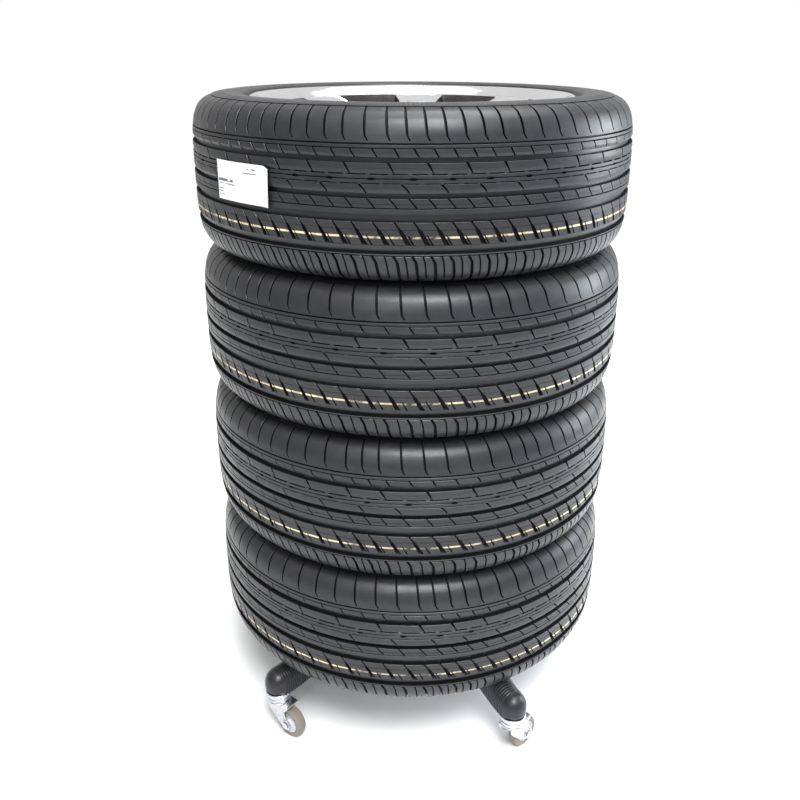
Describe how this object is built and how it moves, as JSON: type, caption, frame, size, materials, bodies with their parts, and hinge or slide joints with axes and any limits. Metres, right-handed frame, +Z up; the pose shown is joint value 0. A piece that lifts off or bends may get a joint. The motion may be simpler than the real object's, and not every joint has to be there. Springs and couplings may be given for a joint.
{
  "type": "tyre storage rack",
  "caption": "Rolling wheel rack: star base with moulded arms on swivel castors and a centre post, loaded with car wheels lying face up on one another.",
  "frame": {"origin": "on the floor, under the centre post's axis, at the centre of the footprint", "axes": "+Z up along the centre post, -Y towards the front, where two arms of the star base show"},
  "size_m": [0.6559, 0.6552, 0.9701],
  "materials": {
    "base_nylon": "moulded black nylon, satin",
    "cap_nylon": "moulded grey plastic, satin",
    "post_steel": "drawn steel tube, dull",
    "zinc_steel": "bright zinc plate",
    "castor_core_plastic": "moulded, light grey",
    "castor_tread_rubber": "non-marking grey rubber, matt",
    "tyre_rubber": "moulded rubber, satin",
    "polished_alloy": "polished",
    "valve_rubber": "moulded rubber, satin",
    "label_paper": "coated white paper"
  },
  "bodies": {
    "base": {"star_base": "base_nylon", "centre_post": "post_steel", "post_slug": "post_steel", "post_cap": "cap_nylon", "hub_washer": "zinc_steel", "hub_bolt": "zinc_steel", "front_left_castor_stem": "zinc_steel", "front_left_castor_race": "zinc_steel", "front_right_castor_stem": "zinc_steel", "front_right_castor_race": "zinc_steel", "right_castor_stem": "zinc_steel", "right_castor_race": "zinc_steel", "back_castor_stem": "zinc_steel", "back_castor_race": "zinc_steel", "left_castor_stem": "zinc_steel", "left_castor_race": "zinc_steel"},
    "front_left_swivel": {"front_left_castor_fork": "zinc_steel", "front_left_castor_axle": "zinc_steel"},
    "front_left_roller": {"front_left_castor_core": "castor_core_plastic", "front_left_castor_tread": "castor_tread_rubber"},
    "front_right_swivel": {"front_right_castor_fork": "zinc_steel", "front_right_castor_axle": "zinc_steel"},
    "front_right_roller": {"front_right_castor_core": "castor_core_plastic", "front_right_castor_tread": "castor_tread_rubber"},
    "right_swivel": {"right_castor_fork": "zinc_steel", "right_castor_axle": "zinc_steel"},
    "right_roller": {"right_castor_core": "castor_core_plastic", "right_castor_tread": "castor_tread_rubber"},
    "back_swivel": {"back_castor_fork": "zinc_steel", "back_castor_axle": "zinc_steel"},
    "back_roller": {"back_castor_core": "castor_core_plastic", "back_castor_tread": "castor_tread_rubber"},
    "left_swivel": {"left_castor_fork": "zinc_steel", "left_castor_axle": "zinc_steel"},
    "left_roller": {"left_castor_core": "castor_core_plastic", "left_castor_tread": "castor_tread_rubber"},
    "wheel_1": {"wheel_1_tyre": "tyre_rubber", "wheel_1_barrel": "polished_alloy", "wheel_1_spokes": "polished_alloy", "wheel_1_valve": "valve_rubber"},
    "wheel_2": {"wheel_2_tyre": "tyre_rubber", "wheel_2_barrel": "polished_alloy", "wheel_2_spokes": "polished_alloy", "wheel_2_valve": "valve_rubber"},
    "wheel_3": {"wheel_3_tyre": "tyre_rubber", "wheel_3_barrel": "polished_alloy", "wheel_3_spokes": "polished_alloy", "wheel_3_valve": "valve_rubber"},
    "wheel_4": {"wheel_4_tyre": "tyre_rubber", "wheel_4_barrel": "polished_alloy", "wheel_4_spokes": "polished_alloy", "wheel_4_valve": "valve_rubber", "paper_label": "label_paper"}
  },
  "joints": [
    {"name": "swivel_front_left", "type": "hinge", "parent": "base", "child": "front_left_swivel", "pos_m": [-0.21213, -0.2315, 0.06], "axis": [0, 0, 1], "continuous": true},
    {"name": "spin_front_left", "type": "hinge", "parent": "front_left_swivel", "child": "front_left_roller", "pos_m": [-0.1911, -0.24679, 0.025], "axis": [0.5878, 0.809, 0], "continuous": true},
    {"name": "swivel_front_right", "type": "hinge", "parent": "base", "child": "front_right_swivel", "pos_m": [0.15462, -0.27329, 0.06], "axis": [0, 0, 1], "continuous": true},
    {"name": "spin_front_right", "type": "hinge", "parent": "front_right_swivel", "child": "front_right_roller", "pos_m": [0.17268, -0.25459, 0.025], "axis": [-0.7193, 0.6947, 0], "continuous": true},
    {"name": "swivel_right", "type": "hinge", "parent": "base", "child": "right_swivel", "pos_m": [0.3077, 0.0626, 0.06], "axis": [0, 0, 1], "continuous": true},
    {"name": "spin_right", "type": "hinge", "parent": "right_swivel", "child": "right_roller", "pos_m": [0.28413, 0.05161, 0.025], "axis": [0.4226, -0.9063, 0], "continuous": true},
    {"name": "swivel_back", "type": "hinge", "parent": "base", "child": "back_swivel", "pos_m": [0.03555, 0.31198, 0.06], "axis": [0, 0, 1], "continuous": true},
    {"name": "spin_back", "type": "hinge", "parent": "back_swivel", "child": "back_roller", "pos_m": [0.04228, 0.28687, 0.025], "axis": [0.9659, 0.2588, 0], "continuous": true},
    {"name": "swivel_left", "type": "hinge", "parent": "base", "child": "left_swivel", "pos_m": [-0.28573, 0.13021, 0.06], "axis": [0, 0, 1], "continuous": true},
    {"name": "spin_left", "type": "hinge", "parent": "left_swivel", "child": "left_roller", "pos_m": [-0.2613, 0.12132, 0.025], "axis": [0.342, 0.9397, 0], "continuous": true},
    {"name": "lift_wheel_1", "type": "slide", "parent": "base", "child": "wheel_1", "axis": [0, 0, 1], "range_m": [0, 0.89]},
    {"name": "lift_wheel_2", "type": "slide", "parent": "wheel_1", "child": "wheel_2", "axis": [0, 0, 1], "range_m": [0, 0.67]},
    {"name": "lift_wheel_3", "type": "slide", "parent": "wheel_2", "child": "wheel_3", "axis": [0, 0, 1], "range_m": [0, 0.46]},
    {"name": "lift_wheel_4", "type": "slide", "parent": "wheel_3", "child": "wheel_4", "axis": [0, 0, 1], "range_m": [0, 0.25]}
  ]
}
